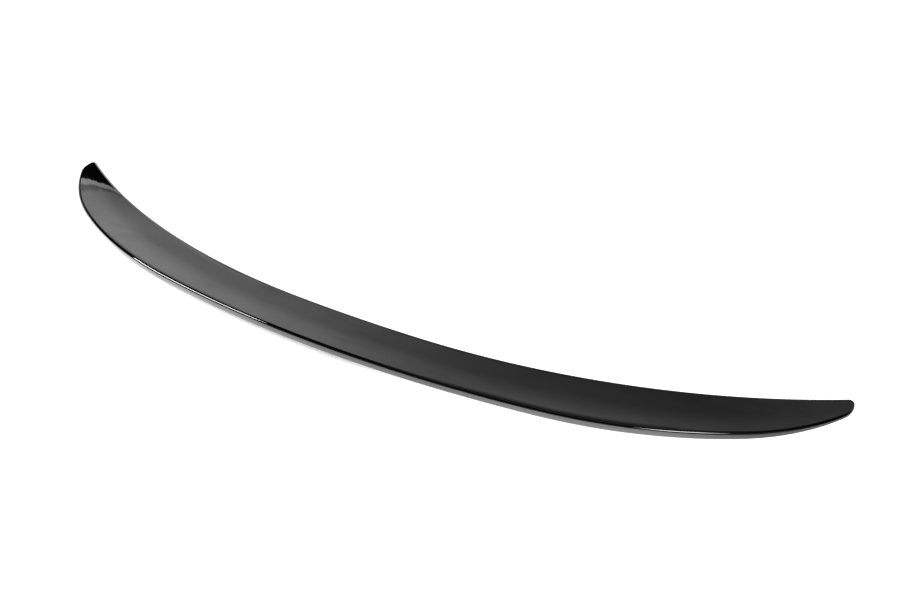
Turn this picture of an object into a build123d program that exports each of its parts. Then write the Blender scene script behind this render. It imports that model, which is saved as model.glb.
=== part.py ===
# Lip spoiler for a car boot lid: one moulded shell, open underneath, with a rolled edge all round.
# +X runs along its length, +Y points to the front of the car and +Z is up.
import os
from math import acos, asin, atan2, cos, degrees, radians, sin, sqrt

from build123d import *

# Plan outline, in millimetres
tip_span = 1200  # between the two pointed ends, before they are rounded
front_radius = 2000  # front edge, middle stretch
front_change = 90  # distance from the middle at which the front edge turns tighter
front_end_radius = 1080  # front edge, outer stretches
width = 72.5  # front edge to rear face, at the middle
rear_radius = 1700  # rear face, middle stretch
rear_change = 275  # distance from the middle at which the rear face turns tighter
shoulder_turn = 30  # degrees that the rear face has turned where its end arcs begin
end_turn = 54  # and where its tip arcs begin
tip_turn = 109  # and at the pointed ends
tip_radius = 40  # rear face, next to the pointed ends
corner_radius = 6  # rounding of the pointed ends

# Heights
crown = 18  # the boot lid's rise from the ends to the middle
front_height = 3  # front edge above the lid
lip_rise = 8  # lip above the front edge, at the middle
ramp_power = 1.5  # hollow of the top skin: 1 is straight, more is hollower

# Moulding
wall = 3
roll_radius = 4  # rolled edge round the top skin
land_width = 12  # strip along the front edge that is stuck to the lid
hollow_corner = 5  # rounding of the hollow's ends, in plan
rib_thickness = 2
rib_pitch = 100
rib_clearance = 1  # foot of a rib above the lid

# Reach of the trimming bodies past the shell, and how finely the skin is laid out
margin = 25
skin_sections = 13
skin_points = 6

half_span = tip_span / 2
depth = crown + front_height + lip_rise + margin  # more than the shell is tall


# Angles are bearings: 0 points to the rear of the car and a quarter turn points along +X
def heading(angle):
    return Vector(sin(angle), -cos(angle))


def bearing(start, end):
    return atan2(end.X - start.X, start.Y - end.Y)


def far_corner(one, two, three):
    # angle opposite side three of a triangle with these sides
    return acos((one**2 + two**2 - three**2) / (2 * one * two))


# Front edge: a middle arc and tighter end arcs that reach the tips
front_centre = Vector(0, front_radius)
front_angle = asin(front_change / front_radius)
front_end_centre = front_centre + heading(front_angle) * (front_radius - front_end_radius)
tip = front_end_centre + heading(asin((half_span - front_end_centre.X) / front_end_radius)) * front_end_radius

# Rear face: a middle arc, shoulder arcs, end arcs, and tip arcs that reach the same tips
rear_centre = Vector(0, rear_radius - width)
rear_angle = asin(rear_change / rear_radius)
shoulder_angle = radians(shoulder_turn)
end_angle = radians(end_turn)

# The chords of the shoulder arc and the end arc fill the gap between the middle arc and the tip arc
shoulder_chord = heading(shoulder_angle) - heading(rear_angle)
end_chord = heading(end_angle) - heading(shoulder_angle)
tip_start = tip - (heading(radians(tip_turn)) - heading(end_angle)) * tip_radius
gap = tip_start - rear_centre - heading(rear_angle) * rear_radius
spread = shoulder_chord.cross(end_chord).Z
shoulder_radius = gap.cross(end_chord).Z / spread
end_radius = shoulder_chord.cross(gap).Z / spread
shoulder_centre = rear_centre + heading(rear_angle) * (rear_radius - shoulder_radius)
end_centre = shoulder_centre + heading(shoulder_angle) * (shoulder_radius - end_radius)
tip_centre = end_centre + heading(end_angle) * (end_radius - tip_radius)


def arc(centre, radius, start, end):
    return CenterArc(centre, radius, degrees(start) - 90, degrees(end - start))


def plan_outline(front_inset, rear_inset, corner):
    # the outline seen from above, moved in at the front edge and at the rear face
    front_reach = front_end_radius + front_inset
    tip_reach = tip_radius - rear_inset
    spacing = (tip_centre - front_end_centre).length
    front_end_angle = bearing(front_end_centre, tip_centre) + far_corner(front_reach, spacing, tip_reach)
    tip_angle = bearing(tip_centre, front_end_centre + heading(front_end_angle) * front_reach)
    with BuildSketch() as outline:
        with BuildLine():
            arc(front_centre, front_radius + front_inset, -front_angle, front_angle)
            arc(rear_centre, rear_radius - rear_inset, -rear_angle, rear_angle)
            front_end = arc(front_end_centre, front_reach, front_angle, front_end_angle)
            shoulder = arc(shoulder_centre, shoulder_radius - rear_inset, rear_angle, shoulder_angle)
            rear_end = arc(end_centre, end_radius - rear_inset, shoulder_angle, end_angle)
            rear_tip = arc(tip_centre, tip_reach, end_angle, tip_angle)
            mirror([front_end, shoulder, rear_end, rear_tip], about=Plane.YZ)
        make_face()
        tips = outline.vertices().group_by(Axis.X)
        fillet(tips[0] + tips[-1], corner)
    return outline.sketch


shell_outline = plan_outline(0, 0, corner_radius)
hollow_outline = plan_outline(land_width, wall, hollow_corner)

# The origin is under the middle of the part's box, level with the ends
outline_box = shell_outline.bounding_box()
half_length = outline_box.max.X
rib_count = 2 * int(hollow_outline.bounding_box().max.X / rib_pitch) + 1
plan = Plane((0, -outline_box.center().Y, 0))

lid_radius = (half_length**2 + crown**2) / (2 * crown)


def lid_z(x):
    return crown - lid_radius + sqrt(lid_radius**2 - x**2)


def front_turn(x):
    # bearing of the front edge's own normal
    if abs(x) < front_change:
        return asin(abs(x) / front_radius)
    return asin((abs(x) - front_end_centre.X) / front_end_radius)


def front_y(x):
    if abs(x) < front_change:
        return front_centre.Y - front_radius * cos(front_turn(x))
    return front_end_centre.Y - front_end_radius * cos(front_turn(x))


def skin_point(x, back):
    # a point of the top skin's outer face, back from the front edge and square to it
    height = front_height + lip_rise * (max(back, 0) / width) ** ramp_power
    return (front_y(x) - back / cos(front_turn(x)), lid_z(x) + height)


# Everything under the top skin's outer face
with BuildPart() as under_skin:
    for section in range(skin_sections):
        x = (half_length + margin) * (2 * section / (skin_sections - 1) - 1)
        with BuildSketch(Plane(plan.origin + (x, 0, 0), x_dir=(0, 1, 0), z_dir=(1, 0, 0))):
            with BuildLine():
                backs = [-margin] + [(width + margin) * i / (skin_points - 1) for i in range(skin_points)]
                ramp = Spline(*[skin_point(x, back) for back in backs])
                Polyline(ramp @ 1, ((ramp @ 1).X, -depth), ((ramp @ 0).X, -depth), ramp @ 0)
            make_face()
    loft()

# The boot lid that the shell sits on
with BuildPart() as lid:
    with BuildSketch(Plane.XZ):
        with BuildLine():
            reach = half_length + margin
            deck = ThreePointArc((-reach, lid_z(reach)), (0, crown), (reach, lid_z(reach)))
            Polyline(deck @ 1, (reach, -depth), (-reach, -depth), deck @ 0)
        make_face()
    extrude(amount=outline_box.size.Y, both=True)

# The space under the skin: the shell's own form, one wall further in and behind the front land
with BuildPart() as hollow:
    with BuildSketch(plan.offset(-depth / 2)):
        add(hollow_outline)
    extrude(amount=depth * 2)
    add(under_skin.part.moved(Location((0, 0, -wall))), mode=Mode.INTERSECT)

# That space parted into cells by ribs across it, and the gap that keeps the ribs off the lid
with BuildPart() as cells:
    add(hollow.part)
    with BuildSketch(Plane.XY.offset(-depth)):
        with GridLocations(rib_pitch, rib_pitch, rib_count, 1):
            Rectangle(rib_thickness, 2 * outline_box.size.Y)
    extrude(amount=depth * 3, mode=Mode.SUBTRACT)

with BuildPart() as rib_gap:
    add(hollow.part)
    add(lid.part.moved(Location((0, 0, rib_clearance))), mode=Mode.INTERSECT)

with BuildPart() as spoiler:
    with BuildSketch(plan.offset(-depth / 2)):
        add(shell_outline)
    extrude(amount=depth * 2)
    add(under_skin.part, mode=Mode.INTERSECT)
    fillet(spoiler.faces().sort_by(Axis.Z)[-1].edges(), roll_radius)
    add([cells.part, rib_gap.part, lid.part], mode=Mode.SUBTRACT)

os.makedirs("parts", exist_ok=True)
spoiler.part.label = "spoiler"
export_step(spoiler.part, "parts/spoiler.step")
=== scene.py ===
import bmesh
import bpy
import numpy as np
from mathutils import Matrix, Vector


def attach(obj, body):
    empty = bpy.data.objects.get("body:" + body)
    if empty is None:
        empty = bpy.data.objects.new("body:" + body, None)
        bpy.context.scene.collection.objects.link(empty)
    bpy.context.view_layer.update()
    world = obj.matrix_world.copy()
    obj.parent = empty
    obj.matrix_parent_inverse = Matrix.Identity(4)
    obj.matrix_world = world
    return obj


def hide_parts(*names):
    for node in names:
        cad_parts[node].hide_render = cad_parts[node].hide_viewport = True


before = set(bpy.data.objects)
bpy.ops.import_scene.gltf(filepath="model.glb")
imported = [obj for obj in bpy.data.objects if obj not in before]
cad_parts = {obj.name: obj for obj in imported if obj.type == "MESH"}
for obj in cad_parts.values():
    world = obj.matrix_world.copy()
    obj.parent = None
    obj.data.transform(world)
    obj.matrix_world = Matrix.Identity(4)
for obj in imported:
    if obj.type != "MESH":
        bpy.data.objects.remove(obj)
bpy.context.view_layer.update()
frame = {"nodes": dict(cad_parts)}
print("frame loaded, nodes:", ", ".join(frame["nodes"]))

# sizes of the lip in metres and degrees: those that its solid is made from, and a finer finish of its edges
lip = {
    "tipSpan": 1.2,             # between the pointed ends, before they are rounded
    "frontRadius": 2.0,         # front edge, middle stretch
    "frontChange": 0.09,        # distance from the middle where the front edge turns tighter
    "frontEndRadius": 1.08,
    "width": 0.0725,            # front edge to rear face, at the middle
    "rearRadius": 1.7,          # rear face, middle stretch
    "rearChange": 0.275,        # distance from the middle where the rear face turns tighter
    "shoulderTurn": 30,         # bearing of the rear face where its end arcs begin,
    "endTurn": 54,              # where its tip arcs begin,
    "tipTurn": 109,             # and at the pointed ends
    "tipRadius": 0.04,
    "cornerRadius": 0.006,      # rounding of the pointed ends
    "crown": 0.018,             # the boot lid's rise from the ends to the middle
    "frontHeight": 0.003,
    "lipRise": 0.008,
    "rampPower": 1.5,
    "rollRadius": 0.0034,       # rolled edge round the top skin, a touch tighter than the solid's
    "easeWidth": 0.009,         # strip along the lip over which the skin levels out
    "easeDepth": 0.001,
    "easePower": 3,
    "easeStarts": (0.1, 0.32),  # shares of the half length between which that strip begins,
    "easeEnds": (0.5, 0.66),    # and between which it runs out
    "footRadius": 0.0008,       # rounding of the lower edge
    "wall": 0.003,
    "landWidth": 0.012,         # strip along the front edge that is stuck to the lid
    "hollowCorner": 0.005,
    "ribThickness": 0.002,
    "ribPitch": 0.1,
    "ribClearance": 0.001,      # foot of a rib above the lid
}

# how finely the skin is laid out, and the share of the stations that comes before the end's rounding
weave = {
    "mainStations": 200,
    "tipStations": 16,
    "mainShare": 0.94,
    "skinRows": 56,
    "rollRows": 12,
    "footRows": 3,
    "wallRows": 2,
    "ceilingRows": 18,
    "nudge": 1e-8,              # parts the two stations at a rib's flank
    "weld": 1e-6,
    "slopeStep": 1e-5,
    "hollowPoints": 4000,       # points along each side of the hollow's outline
    "sharpAngle": 35,
}


def heading(angle):
    # unit vector of a bearing: 0 points to the rear and a quarter turn points along +X
    return np.stack([np.sin(angle), -np.cos(angle)], -1)


def bearing(start, end):
    return np.arctan2(end[0] - start[0], start[1] - end[1])


def gap(start, end):
    return np.hypot(*(end - start))


# Plan: the front edge is a middle arc and two tighter end arcs. The rear face is a middle arc, then a
# shoulder arc, an end arc and a tip arc on each side, and the chords of the shoulder arc and the end arc fill
# the gap between the middle arc and the tip arc.
frontCentre = np.array([0, lip["frontRadius"]])
frontAngle = np.arcsin(lip["frontChange"] / lip["frontRadius"])
frontEndCentre = frontCentre + (lip["frontRadius"] - lip["frontEndRadius"]) * heading(frontAngle)
tipBearing = np.arcsin((lip["tipSpan"] / 2 - frontEndCentre[0]) / lip["frontEndRadius"])
tip = frontEndCentre + lip["frontEndRadius"] * heading(tipBearing)

rearCentre = np.array([0, lip["rearRadius"] - lip["width"]])
rearAngle = np.arcsin(lip["rearChange"] / lip["rearRadius"])
shoulderAngle, endAngle, tipAngle = np.radians([lip["shoulderTurn"], lip["endTurn"], lip["tipTurn"]])
chords = np.diff(heading(np.array([rearAngle, shoulderAngle, endAngle])), axis=0)
tipStart = tip - lip["tipRadius"] * (heading(tipAngle) - heading(endAngle))
rearStop = rearCentre + lip["rearRadius"] * heading(rearAngle)
shoulderRadius, endRadius = np.linalg.solve(chords.T, tipStart - rearStop)
shoulderCentre = rearStop - shoulderRadius * heading(rearAngle)
endCentre = shoulderCentre + (shoulderRadius - endRadius) * heading(shoulderAngle)
tipCentre = endCentre + (endRadius - lip["tipRadius"]) * heading(endAngle)


def outlineRuns(frontInset, rearInset, corner):
    # right half of the outline, moved in: the front edge's arcs, the rear face's arcs, and the end's rounding
    # each arc is a centre, a radius, two bearings, and 1 if its hollow side faces out, else -1
    frontReach = lip["frontEndRadius"] + frontInset + corner
    tipReach = lip["tipRadius"] - rearInset - corner
    apart = gap(frontEndCentre, tipCentre)
    swing = np.arccos((frontReach**2 + apart**2 - tipReach**2) / (2 * frontReach * apart))
    frontEnd = bearing(frontEndCentre, tipCentre) + swing
    centre = frontEndCentre + frontReach * heading(frontEnd)
    rearEnd = bearing(tipCentre, centre)
    front = [
        (frontCentre, lip["frontRadius"] + frontInset, 0, frontAngle, 1),
        (frontEndCentre, lip["frontEndRadius"] + frontInset, frontAngle, frontEnd, 1),
    ]
    rear = [
        (rearCentre, lip["rearRadius"] - rearInset, 0, rearAngle, -1),
        (shoulderCentre, shoulderRadius - rearInset, rearAngle, shoulderAngle, -1),
        (endCentre, endRadius - rearInset, shoulderAngle, endAngle, -1),
        (tipCentre, lip["tipRadius"] - rearInset, endAngle, rearEnd, -1),
    ]
    return front, rear, (centre, corner, frontEnd + np.pi, rearEnd)


def runLength(arcs):
    return sum(radius * abs(end - start) for _, radius, start, end, _ in arcs)


def follow(arcs, distance):
    # point and inward direction at a distance along arcs that flow into one another: the bearing grows
    # evenly with the distance on each arc
    centre, radius, start, end, side = (np.array(part) for part in zip(*arcs))
    length = radius * abs(end - start)
    stops = np.cumsum(length)
    k = np.clip(np.searchsorted(stops, distance), 0, len(arcs) - 1)
    turn = start[k] + (end[k] - start[k]) * (distance - (stops - length)[k]) / length[k]
    return centre[k] + radius[k, None] * heading(turn), side[k, None] * heading(turn)


shellFront, shellRear, shellRounding = outlineRuns(0, 0, lip["cornerRadius"])
hollowFront, hollowRear, hollowRounding = outlineRuns(lip["landWidth"], lip["wall"], lip["hollowCorner"])
halfLength = tipCentre[0] + lip["tipRadius"]
planShift = (lip["width"] - shellRounding[0][1] - lip["cornerRadius"]) / 2
lidRadius = (halfLength**2 + lip["crown"] ** 2) / (2 * lip["crown"])


def lidHeight(x):
    # a circle over the part's length, level with the ends
    return lip["crown"] - lidRadius + np.sqrt(lidRadius**2 - x**2)


def skinHeight(x, y):
    # the lid, plus the front edge's height, plus a rise that grows with a power of the distance behind the
    # front edge, measured square to it
    x = abs(x)
    inner = x < lip["frontChange"]
    reach = np.where(inner, x / lip["frontRadius"], (x - frontEndCentre[0]) / lip["frontEndRadius"])
    turn = np.arcsin(reach)
    edge = np.where(inner, frontCentre[1] - lip["frontRadius"] * np.cos(turn),
                    frontEndCentre[1] - lip["frontEndRadius"] * np.cos(turn))
    back = np.maximum((edge - y) * np.cos(turn), 0)
    return lidHeight(x) + lip["frontHeight"] + lip["lipRise"] * (back / lip["width"]) ** lip["rampPower"]


def edgePath(arcs, rounding, firstTurn, share):
    # a run of arcs and its half of the end's rounding, with share 0 at the middle and 1 at the end's point
    centre, corner, frontTurn, rearTurn = rounding
    whole = arcs + [(centre, corner, firstTurn, (frontTurn + rearTurn) / 2, -1)]
    distance = np.interp(share, [0, weave["mainShare"], 1], [0, runLength(arcs), runLength(whole)])
    return follow(whole, distance)


def smooth(low, high, value):
    # 0 below low, 1 above high, and an S-shaped rise between them
    t = np.clip((value - low) / (high - low), 0, 1)
    return t * t * (3 - 2 * t)


def lipEase(inset, share):
    # how far the skin drops along the lip: a power of the distance left to the strip's inner side
    run = smooth(*lip["easeStarts"], share) * (1 - smooth(*lip["easeEnds"], share))
    return lip["easeDepth"] * run * np.maximum(1 - inset / lip["easeWidth"], 0) ** lip["easePower"]


def rolledEdge(point, inward, drop):
    # outer wall with a small rounding at its foot, and the roll above it: a circle that touches the wall and
    # the top skin, cut off by the lid
    radius, step = lip["rollRadius"], weave["slopeStep"]
    behind, under, ahead = (skinHeight(*(point + inset * inward).T) - drop(inset)
                            for inset in (radius - step, radius, radius + step))
    slope = (ahead - behind) / (2 * step)
    centre = under - radius * np.sqrt(1 + slope**2)
    first = np.arcsin(np.clip((lidHeight(point[:, 0]) - centre) / radius, 0, 1))
    spread = np.linspace(0, 1, weave["rollRows"] + 1)
    turn = first[:, None] + (np.arctan2(1, slope) - first)[:, None] * spread
    inset = radius * (1 - np.cos(turn))
    height = centre[:, None] + radius * np.sin(turn)
    foot = lidHeight(point[:, 0])[:, None]
    small = np.minimum(lip["footRadius"], (height[:, :1] - foot) / 2)
    bend = np.linspace(0, np.pi / 2, weave["footRows"], endpoint=False)
    wallFoot = foot + small
    climb = wallFoot + (height[:, :1] - wallFoot) * np.linspace(0, 1, weave["wallRows"], endpoint=False)
    wallInset = np.repeat(inset[:, :1], weave["wallRows"], 1)
    inset = np.hstack([inset[:, :1] + small * (1 - np.sin(bend)), wallInset, inset])
    height = np.hstack([foot + small * (1 - np.cos(bend)), climb, height])
    plan = point[:, None] + inset[..., None] * inward[:, None]
    return np.dstack([plan, height])


def between(start, end, rows):
    v = np.linspace(0, 1, rows + 1)[:, None]
    return start[:, None] * (1 - v) + end[:, None] * v


def outerSections(stations):
    # from the foot of the rear face over the top skin to the foot of the front edge
    share = abs(stations)
    frontTurn, rearTurn = shellRounding[2:]
    rearPath = edgePath(shellRear, shellRounding, rearTurn, share)
    frontPath = edgePath(shellFront, shellRounding, frontTurn, share)
    rear = rolledEdge(*rearPath, lambda inset: lipEase(inset, share))
    front = rolledEdge(*frontPath, lambda inset: 0)
    skin = between(rear[:, -1, :2], front[:, -1, :2], weave["skinRows"])[:, 1:-1]
    inset = lip["rollRadius"] + np.linalg.norm(skin - rear[:, -1:, :2], axis=-1)
    drop = lipEase(inset, share[:, None])
    skin = np.dstack([skin, skinHeight(skin[..., 0], skin[..., 1]) - drop])
    sections = np.concatenate([rear, skin, front[:, ::-1]], 1)
    sections[..., 0] *= np.where(stations < 0, -1, 1)[:, None]
    return sections


hollowReach = hollowRounding[0][0] + lip["hollowCorner"]
hollowMain = hollowRounding[0][0] - lip["hollowCorner"]


def hollowX(stations):
    # even steps, then a quarter of a sine wave over the hollow's rounded ends
    share = abs(stations)
    late = np.clip((share - weave["mainShare"]) / (1 - weave["mainShare"]), 0, 1)
    x = hollowMain * np.minimum(share / weave["mainShare"], 1)
    return np.sign(stations) * (x + (hollowReach - hollowMain) * np.sin(late * np.pi / 2))


def hollowSide(arcs, firstTurn, x):
    # one side of the hollow's outline as Y over X, up to the hollow's end
    centre, corner, _, _ = hollowRounding
    whole = arcs + [(centre, corner, firstTurn, np.pi / 2, -1)]
    point, _ = follow(whole, np.linspace(0, runLength(whole), weave["hollowPoints"]))
    return np.interp(abs(x), *point.T)


def underSections(stations):
    # from the hollow's front foot up to its ceiling, across, and down to its rear foot: the ceiling is the
    # top skin moved down by the wall, and inside a rib it is the rib's foot
    x = hollowX(stations)
    front = hollowSide(hollowFront, hollowRounding[2], x)
    rear = hollowSide(hollowRear, hollowRounding[3], x)
    y = between(front[:, None], rear[:, None], weave["ceilingRows"])[..., 0]
    lid = lidHeight(x)[:, None]
    ribFoot = lid + lip["ribClearance"]
    ceiling = skinHeight(x[:, None], y) - lip["wall"]
    inRib = abs(x - np.round(x / lip["ribPitch"]) * lip["ribPitch"]) < lip["ribThickness"] / 2
    step = np.minimum(ribFoot, ceiling)
    y = np.hstack([y[:, :1], y[:, :1], y, y[:, -1:], y[:, -1:]])
    z = np.hstack([lid, step[:, :1], np.where(inRib[:, None], step, ceiling), step[:, -1:], lid])
    return np.dstack([np.broadcast_to(x[:, None], y.shape), y, z])


def layStations():
    # even stations along the part, closer ones round its ends, and a pair at each flank of each rib
    half = np.concatenate([
        np.linspace(0, weave["mainShare"], weave["mainStations"], endpoint=False),
        np.linspace(weave["mainShare"], 1, weave["tipStations"] + 1),
    ])
    lastRib = hollowReach // lip["ribPitch"]
    ribs = np.arange(-lastRib, lastRib + 1) * lip["ribPitch"]
    sides = np.array([-1, 1])
    flanks = np.add.outer(sides * lip["ribThickness"] / 2, sides * weave["nudge"])
    flanks = np.add.outer(ribs, flanks).ravel() * weave["mainShare"] / hollowMain
    return np.sort(np.concatenate([-half[1:], half, flanks]))


def buildShell():
    stations = layStations()
    outer = outerSections(stations)
    sections = np.concatenate([outer, underSections(stations)], 1)
    sections[..., 1] += planShift
    rows, columns = sections.shape[:2]
    index = np.arange(rows * columns).reshape(rows, columns)
    around = np.roll(index, -1, 1)
    quads = np.stack([index[:-1], around[:-1], around[1:], index[1:]], -1)[:, :, ::-1]
    # the lacquer ends above the rounding of the lower edge
    column = np.arange(columns)
    bare = (column < weave["footRows"]) | (column >= outer.shape[1] - 1 - weave["footRows"])
    underside = np.broadcast_to(bare, quads.shape[:2])

    mesh = bpy.data.meshes.new("spoilerSkin")
    mesh.from_pydata(sections.reshape(-1, 3), [], quads.reshape(-1, 4).tolist())
    mesh.polygons.foreach_set("material_index", underside.ravel().astype(np.int32))
    work = bmesh.new()
    work.from_mesh(mesh)
    bmesh.ops.remove_doubles(work, verts=work.verts, dist=weave["weld"])
    work.to_mesh(mesh)
    print("volume of the shell in litres:", round(work.calc_volume(signed=True) * 1000, 4))
    print("open edges:", sum(not edge.is_manifold for edge in work.edges))
    work.free()
    mesh.shade_smooth()
    mesh.set_sharp_from_angle(angle=np.radians(weave["sharpAngle"]))
    shell = bpy.data.objects.new("spoilerSkin", mesh)
    bpy.context.scene.collection.objects.link(shell)
    print("shell built:", len(mesh.polygons), "faces")
    return shell


class Wire:
    # a socket that can be used in sums, and the maker of nodes for its tree
    def __init__(self, tree, socket=None):
        self.tree = tree
        self.socket = socket

    def node(self, kind, settings=None, values=None, output=0):
        # a node of one kind: its settings first, then the values or links of its sockets
        made = self.tree.nodes.new("ShaderNode" + kind)
        for name, value in (settings or {}).items():
            setattr(made, name, value)
        for name, value in (values or {}).items():
            if isinstance(value, Wire):
                self.tree.links.new(value.socket, made.inputs[name])
            else:
                made.inputs[name].default_value = value
        return Wire(self.tree, made.outputs[output]) if made.outputs else None

    def maths(self, operation, *values):
        return self.node("Math", {"operation": operation}, dict(enumerate(values)))

    def noise(self, place, scale, detail):
        return self.node("TexNoise", values={"Vector": place, "Scale": scale, "Detail": detail})

    def ease(self, low, high):
        # 0 below low, 1 above high, and an S-shaped rise between them
        values = {"Value": self, "From Min": low, "From Max": high}
        return self.node("MapRange", {"interpolation_type": "SMOOTHSTEP"}, values)

    def band(self, low, start, end, high):
        # 1 from start to end, and 0 below low and above high
        return self.ease(low, start) * (1 - self.ease(end, high))

    def __add__(self, other):
        return self.maths("ADD", self, other)

    def __sub__(self, other):
        return self.maths("SUBTRACT", self, other)

    def __mul__(self, other):
        return self.maths("MULTIPLY", self, other)

    def __radd__(self, other):
        return self.maths("ADD", other, self)

    def __rsub__(self, other):
        return self.maths("SUBTRACT", other, self)

    def __rmul__(self, other):
        return self.maths("MULTIPLY", other, self)


noiseMiddle = 0.5               # a noise node's values lie round this one


def newMaterial(name):
    material = bpy.data.materials.new(name)
    material.use_nodes = True
    material.node_tree.nodes.clear()
    return material, Wire(material.node_tree)


gloss = {
    "deep": (0.0008, 0.0008, 0.00085, 1),
    "haze": (0.0016, 0.0016, 0.0017, 1),
    "hazeScale": 9,
    "hazeDetail": 4,
    "roughness": 0.012,
    "roughnessSpread": 0.016,
    "smearScale": 26,           # faint wipe marks that dull the lacquer
    "smearDetail": 3,
    "smearStretch": (0.45, 1.6, 1.6),
    "smearRange": (0.5, 0.72),
    "smear": 0.22,
    "ior": 1.6,
    "coatRoughness": 0.01,
    "peelScale": 180,           # orange peel of a moulded and lacquered skin
    "peelDetail": 2,
    "peelDepth": 0.000002,
}


def glossBlack():
    material, wire = newMaterial("glossBlack")
    place = wire.node("TexCoord", output="Object")
    along = wire.node("Mapping", values={"Vector": place, "Scale": gloss["smearStretch"]})
    haze = wire.noise(place, gloss["hazeScale"], gloss["hazeDetail"])
    peel = wire.noise(place, gloss["peelScale"], gloss["peelDetail"])
    smear = wire.noise(along, gloss["smearScale"], gloss["smearDetail"])
    # a colour mix has its factor in socket 0, its colours in 6 and 7, and its result in 2
    tint = wire.node("Mix", {"data_type": "RGBA"}, {0: haze, 6: gloss["deep"], 7: gloss["haze"]}, 2)
    bump = wire.node("Bump", values={"Height": peel, "Strength": 1, "Distance": gloss["peelDepth"]})
    skin = wire.node("BsdfPrincipled", values={
        "Base Color": tint,
        "Roughness": gloss["roughness"] + haze * gloss["roughnessSpread"],
        "IOR": gloss["ior"],
        "Coat Weight": 1 - smear.ease(*gloss["smearRange"]) * gloss["smear"],
        "Coat IOR": gloss["ior"],
        "Coat Roughness": gloss["coatRoughness"],
        "Normal": bump,
    })
    wire.node("OutputMaterial", values={"Surface": skin})
    return material


satin = {
    "color": (0.012, 0.012, 0.0125, 1),
    "roughness": 0.42,
    "roughnessSpread": 0.18,
    "grainScale": 900,
    "grainDetail": 3,
    "grainDepth": 0.00003,
}


def satinUnderside():
    material, wire = newMaterial("satinUnderside")
    place = wire.node("TexCoord", output="Object")
    grain = wire.noise(place, satin["grainScale"], satin["grainDetail"])
    bump = wire.node("Bump", values={"Height": grain, "Strength": 1, "Distance": satin["grainDepth"]})
    skin = wire.node("BsdfPrincipled", values={
        "Base Color": satin["color"],
        "Roughness": satin["roughness"] + grain * satin["roughnessSpread"],
        "Normal": bump,
    })
    wire.node("OutputMaterial", values={"Surface": skin})
    return material


floor = {
    "reach": 30,
    "color": (0.8, 0.8, 0.8, 1),
    "seen": 0.95,               # glow where it is looked at, and how much less of it under the part: a painted shadow where the part's shadow falls
    "shade": 0.5,               # and how much less of it under the part, where its shadow shows
    "shadeX": (-0.42, -0.2, 0, 0.15),
    "shadeBehind": (-0.09, -0.05, 0.02, 0.12),      # distances behind the rear face
    "shadeFront": (0.3, 0.6),   # places along Y between which it ends
    # glow that only mirror rays see, a painted reflection for the rear face to show, dim towards the ends as
    # painted shade: a first level, then the places along X between which it changes to the next
    "mirrored": (0, (-0.6, -0.42, 1), (-0.3, -0.03, 0.6), (0.12, 0.26, 0.95), (0.4, 0.55, 0.05)),
    "mirroredEnd": (0.03, 0.12),    # distances behind the rear face between which that glow ends
}


def stepped(place, first, *steps):
    # a level with an S-shaped step to each next one
    level = before = first
    for start, end, after in steps:
        level = level + place.ease(start, end) * (after - before)
        before = after
    return level


def buildFloor():
    # a flat square at the height of the part's feet
    corners = floor["reach"] * np.array([(-1, -1, 0), (1, -1, 0), (1, 1, 0), (-1, 1, 0)])
    mesh = bpy.data.meshes.new("floor")
    mesh.from_pydata(corners, [], [(0, 1, 2, 3)])
    material, wire = newMaterial("paleFloor")
    seen = wire.node("LightPath", output="Is Camera Ray")
    mirrored = wire.node("LightPath", output="Is Glossy Ray")
    through = wire.node("LightPath", output="Is Transmission Ray")
    place = wire.node("TexCoord", output="Object")
    x, y = (wire.node("SeparateXYZ", values={"Vector": place}, output=axis) for axis in "XY")
    fromCentre = y - (rearCentre[1] + planShift)
    behind = wire.maths("SQRT", x * x + fromCentre * fromCentre) - lip["rearRadius"]
    # painted shadow: less glow on the floor under the part's rear half, shaped by its rear face
    nearby = 1 - y.ease(*floor["shadeFront"])
    shade = x.band(*floor["shadeX"]) * behind.band(*floor["shadeBehind"]) * nearby * floor["shade"]
    # painted reflection: glow that only mirror rays see, stepped along X, dim near the ends as painted shade,
    # and ending a little behind the rear face
    paintedReflection = stepped(x, *floor["mirrored"]) * (1 - behind.ease(*floor["mirroredEnd"]))
    level = (seen + through) * (floor["seen"] - shade) + mirrored * paintedReflection
    matt = wire.node("BsdfDiffuse", values={"Color": floor["color"]})
    glow = wire.node("Emission", values={"Color": level})
    both = wire.node("AddShader", values={0: matt, 1: glow})
    wire.node("OutputMaterial", values={"Surface": both})
    mesh.materials.append(material)
    ground = bpy.data.objects.new("floor", mesh)
    bpy.context.scene.collection.objects.link(ground)
    print("floor laid")


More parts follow.
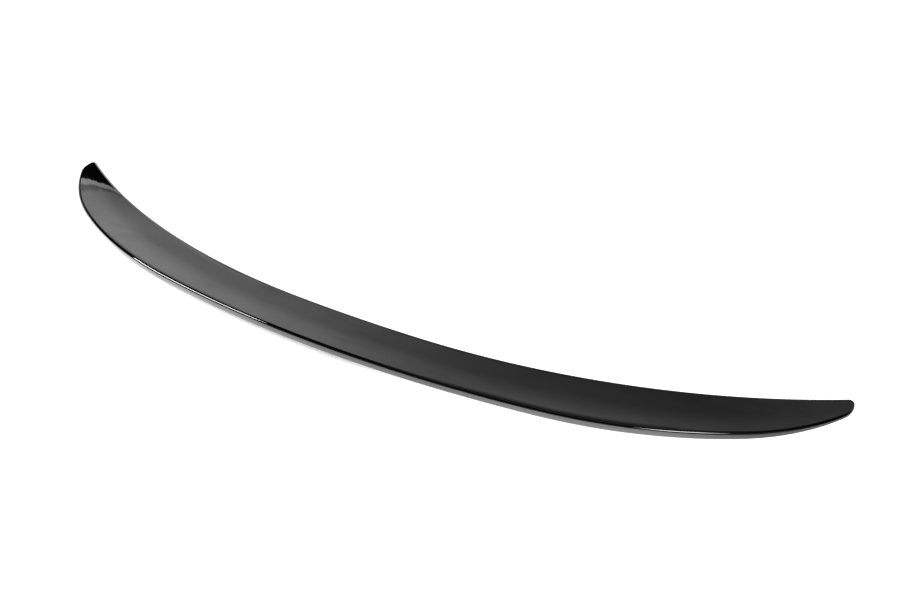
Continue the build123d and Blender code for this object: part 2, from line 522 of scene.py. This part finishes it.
# What the part mirrors. Turns and rises are degrees: a turn of 0 is the front of the car (+Y), a positive one
# is to its right, and a rise is above the horizon. The ridge is a sloping line along the back wall.
room = {
    "strength": 0.8,
    "dark": 0.004,
    "wall": 0.215,                  # back wall,
    "wallLift": 0.08,               # how much lighter its right part is,
    "liftTurn": (-4, 6),
    "middle": 0.185,                # and how much lighter its middle is
    "middleFade": (-24, 2),
    "panel": 0.74,                  # bright panel at the left
    "panelFade": (-43, -18),
    "ridge": (22.9, 0.43, 31.4),    # rise at the panel's left end, slope along the wall, and limit
    "ridgeStart": -47.5,
    "ridgeBlend": 8,
    "foot": (0.1, 0.17),            # brighter foot of the wall, left and right
    "footFade": (-2.2, 0.6),        # from the ridge
    "leftFootTurn": (-42.5, -39),
    "rightFootTurn": (-25, -17, -8, 2),
    "upper": 0.64,                  # share of the level that is left above the ridge
    "upperFade": (-0.6, 2.6),
    "outerTurn": (-44, -39),        # the panel's left end gets its full level back further up
    "outerFade": (5, 8),
    "top": (6.5, 8, 7.5),           # where the wall ends above the ridge: left, middle and right
    "topSoft": (1.5, 5.5),          # and how softly, left and right
    "topTurn": (-30, -12),
    "rightEnd": (20, 60),
    "edge": (-49.35, 23.1, 0.62),   # left edge of the panel: turn and rise of a point on it, and its slant
    "edgeScale": 90,
    "edgeDetail": 2,
    "edgeWobble": 0.8,
    "edgeSoft": 0.02,
    "edgeShade": 0.3,
    "edgeFade": (0.3, 5),
    "hem": 0.39,                    # brighter hem along that edge, and the darker line behind it
    "hemFade": (0.42, 0.55),
    "line": 0.3,
    "lineFade": (0.45, 0.6, 0.75, 1.05),
    "cloudScale": 25,
    "cloudDetail": 5,
    "cloud": 0.25,
    "wing": 0.3,                    # low panel further left
    "wingTurn": (-92, -82, -66, -58),
    "wingRise": (16, 21),
    "rear": 0.06,                   # dim rear wall, and a lighter stretch of it at the right
    "rearTurn": (95, 115),
    "rearRise": (34, 50),
    "rearRight": 0.12,
    "rearRightTurn": (85, 105, 132, 144),
    "ceiling": 0.2,                 # dim panel overhead
    "ceilingRise": (52, 66),
    "ceilingAhead": (-0.1, 0.12),   # along Y and X of a direction of length 1
    "ceilingSide": (0.28, 0.42),
}


def lightRoom():
    world = bpy.data.worlds.new("studio")
    bpy.context.scene.world = world
    world.use_nodes = True
    world.node_tree.nodes.clear()
    wire = Wire(world.node_tree)
    way = wire.node("TexCoord", output="Generated")
    x, y, z = (wire.node("SeparateXYZ", values={"Vector": way}, output=axis) for axis in "XYZ")
    turn = x.maths("ARCTAN2", x, y) * np.degrees(1)
    rise = z.maths("ARCSINE", z) * np.degrees(1)
    start, climb, limit = room["ridge"]
    slope = start + (turn - room["ridgeStart"]) * climb
    across = rise - turn.maths("SMOOTH_MIN", slope, limit, room["ridgeBlend"])

    # level along the wall, then its fall from the ridge upwards, and the glow below the ridge at both ends
    panel = (1 - turn.ease(*room["panelFade"])) * room["panel"]
    middle = (1 - turn.ease(*room["middleFade"])) * room["middle"]
    fall = (1 - across.ease(*room["upperFade"])) * (1 - room["upper"]) + room["upper"]
    outer = 1 - turn.ease(*room["outerTurn"])
    fall = fall + across.ease(*room["outerFade"]) * outer * (1 - room["upper"])
    leftFoot, rightFoot = room["foot"]
    ends = (1 - turn.ease(*room["leftFootTurn"])) * leftFoot + turn.band(*room["rightFootTurn"]) * rightFoot
    foot = (1 - across.ease(*room["footFade"])) * ends
    lift = turn.ease(*room["liftTurn"]) * room["wallLift"]
    wall = (panel + middle + room["wall"]) * fall + foot + lift
    leftTop, middleTop, rightTop = room["top"]
    sharp, soft = room["topSoft"]
    right = turn.ease(*room["topTurn"])
    topStart = middleTop + outer * (leftTop - middleTop) + right * (rightTop - middleTop)
    top = 1 - across.ease(topStart, topStart + sharp + right * (soft - sharp))

    # slanted and rippled left edge with a brighter hem and a darker line behind it
    ripple = wire.noise(way, room["edgeScale"], room["edgeDetail"])
    edgeTurn, edgeRise, slant = room["edge"]
    edge = (turn - edgeTurn) + (rise - edgeRise) * slant + (ripple - noiseMiddle) * room["edgeWobble"]
    hem = (1 - edge.ease(*room["hemFade"])) * room["hem"]
    line = edge.band(*room["lineFade"]) * room["line"]
    inside = edge.ease(-room["edgeSoft"], room["edgeSoft"])
    cloud = wire.noise(way, room["cloudScale"], room["cloudDetail"])
    shade = 1 - (1 - edge.ease(*room["edgeFade"])) * room["edgeShade"] - line
    level = wall * shade * (1 + (cloud - noiseMiddle) * room["cloud"]) + hem
    sky = level * inside * top * (1 - turn.ease(*room["rightEnd"])) + room["dark"]

    # what the other sides of the part mirror
    wing = turn.band(*room["wingTurn"]) * (1 - rise.ease(*room["wingRise"])) * room["wing"]
    rear = turn.maths("ABSOLUTE", turn).ease(*room["rearTurn"]) * room["rear"]
    rear = rear + turn.band(*room["rearRightTurn"]) * room["rearRight"]
    overhead = rise.ease(*room["ceilingRise"]) * y.ease(*room["ceilingAhead"]) * room["ceiling"]
    overhead = overhead * (1 - x.maths("ABSOLUTE", x).ease(*room["ceilingSide"]))
    sky = sky + wing + rear * (1 - rise.ease(*room["rearRise"])) + overhead

    # white where it is looked at
    seen = wire.node("LightPath", output="Is Camera Ray")
    glow = wire.node("Background", values={"Color": sky * (1 - seen) * room["strength"] + seen})
    wire.node("OutputWorld", values={"Surface": glow})
    print("room lit")


# soft boxes: turn, rise and tilt in degrees, distance and size in metres, brightness of the box's face, and
# whether the part mirrors it
softBoxes = {
    "leftBox": {
        "turn": -113.2, "rise": 33.9, "tilt": 36, "away": 2.7,
        "size": (1.25, 0.56), "level": 15, "mirrored": True,
    },
    "rightBox": {
        "turn": 125.5, "rise": 41, "tilt": 25, "away": 2.76,
        "size": (1, 0.5), "level": 11, "mirrored": True,
    },
    "fill": {
        "turn": 150, "rise": 48, "tilt": 0, "away": 2.6,
        "size": (1.2, 1.2), "level": 10, "mirrored": False,
    },
}


def hangBoxes():
    for name, box in softBoxes.items():
        turn, rise = np.radians(box["turn"]), np.radians(box["rise"])
        way = Vector((np.cos(rise) * np.sin(turn), np.cos(rise) * np.cos(turn), np.sin(rise)))
        data = bpy.data.lights.new(name, "AREA")
        data.shape = "RECTANGLE"
        data.size, data.size_y = box["size"]
        data.energy = box["level"] * np.pi * box["size"][0] * box["size"][1]
        lamp = bpy.data.objects.new(name, data)
        facing = way.to_track_quat("Z", "Y").to_matrix().to_4x4()
        tilt = Matrix.Rotation(np.radians(box["tilt"]), 4, "Z")
        lamp.matrix_world = Matrix.Translation(way * box["away"]) @ facing @ tilt
        lamp.visible_glossy = box["mirrored"]
        bpy.context.scene.collection.objects.link(lamp)
    print("soft boxes hung:", len(softBoxes))


view = {
    "target": (0.1142, 0.0342, 0.023),
    "turn": 26.626,             # to the right of the rear
    "rise": 40.702,
    "away": 1.1632,
    "lens": 35,
    "sensor": 36,
}


def setCamera():
    turn, rise = np.radians(view["turn"]), np.radians(view["rise"])
    back = Vector((np.sin(turn) * np.cos(rise), -np.cos(turn) * np.cos(rise), np.sin(rise)))
    data = bpy.data.cameras.new("camera")
    data.lens = view["lens"]
    data.sensor_width = view["sensor"]
    data.sensor_fit = "HORIZONTAL"
    camera = bpy.data.objects.new("camera", data)
    place = Matrix.Translation(Vector(view["target"]) + back * view["away"])
    camera.matrix_world = place @ back.to_track_quat("Z", "Y").to_matrix().to_4x4()
    bpy.context.scene.collection.objects.link(camera)
    bpy.context.scene.camera = camera
    print("camera set")


shell = buildShell()
shell.data.materials.append(glossBlack())
shell.data.materials.append(satinUnderside())
print("finishes applied")
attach(shell, "root")
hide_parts("spoiler")
buildFloor()
lightRoom()
hangBoxes()
setCamera()
bpy.context.scene.view_settings.view_transform = "Standard"
